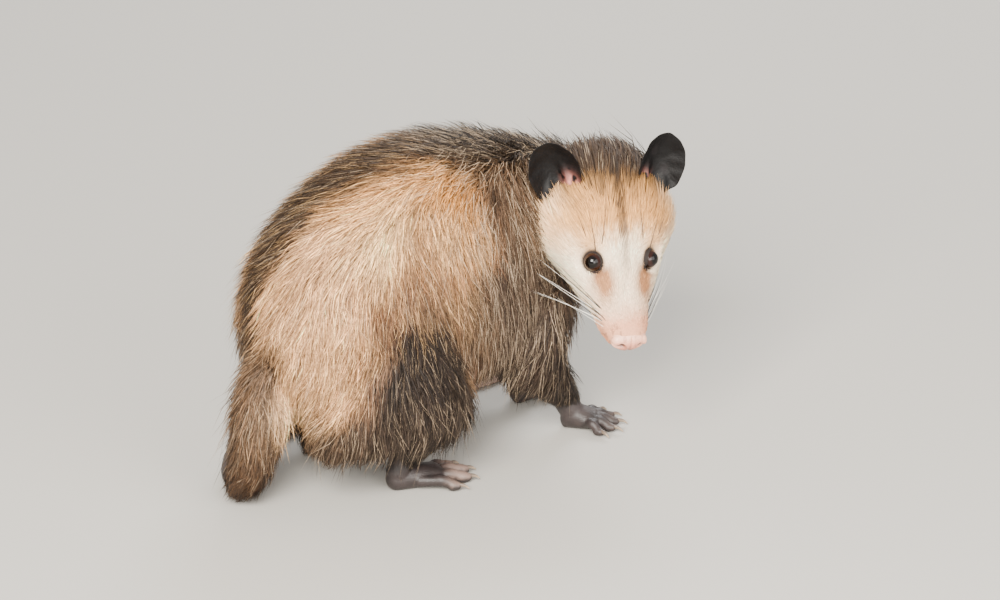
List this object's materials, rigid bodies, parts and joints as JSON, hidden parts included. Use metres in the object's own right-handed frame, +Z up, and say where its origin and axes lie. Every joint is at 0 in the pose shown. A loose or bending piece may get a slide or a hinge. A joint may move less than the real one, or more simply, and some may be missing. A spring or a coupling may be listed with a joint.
{
  "type": "virginia opossum",
  "caption": "Life-size standing opossum, back arched and head turned over one side, with a long shaggy coat and a naked tail curled on the floor.",
  "frame": {"origin": "middle of the bounding box, on the floor that the feet stand on", "axes": "+X from the rump towards the shoulders, -Y the side the face is turned to, +Z up"},
  "size_m": [0.317, 0.2458, 0.2348],
  "materials": {
    "buff_coat": "long coarse fur, warm cream and buff with dark tips",
    "grey_coat": "long coarse fur, grey-brown to black with silvery hairs",
    "dark_skin": "short black fur and bare black-brown skin",
    "face_fur": "short pale cream fur with dark eye rings",
    "nose_skin": "moist bare pink skin",
    "ear_leather": "thin bare black skin, pink inside the cup",
    "tail_skin": "scaly bare skin, dark at the base and pinkish beyond",
    "eye": "wet black"
  },
  "bodies": {
    "root": {"thigh_right": "grey_coat", "upper_arm_right": "grey_coat", "shank_right": "dark_skin", "hind_foot_right": "dark_skin", "forearm_right": "dark_skin", "fore_foot_right": "dark_skin", "thigh_left": "grey_coat", "upper_arm_left": "grey_coat", "shank_left": "dark_skin", "hind_foot_left": "dark_skin", "forearm_left": "dark_skin", "fore_foot_left": "dark_skin", "tail_root": "buff_coat", "tail_base": "tail_skin", "tail_middle": "tail_skin", "tail_end": "tail_skin", "head": "face_fur", "nose": "nose_skin", "eye_right": "eye", "ear_right": "ear_leather", "eye_left": "eye", "ear_left": "ear_leather", "rump": "buff_coat", "loin": "buff_coat", "chest": "grey_coat", "neck": "grey_coat"}
  },
  "joints": []
}
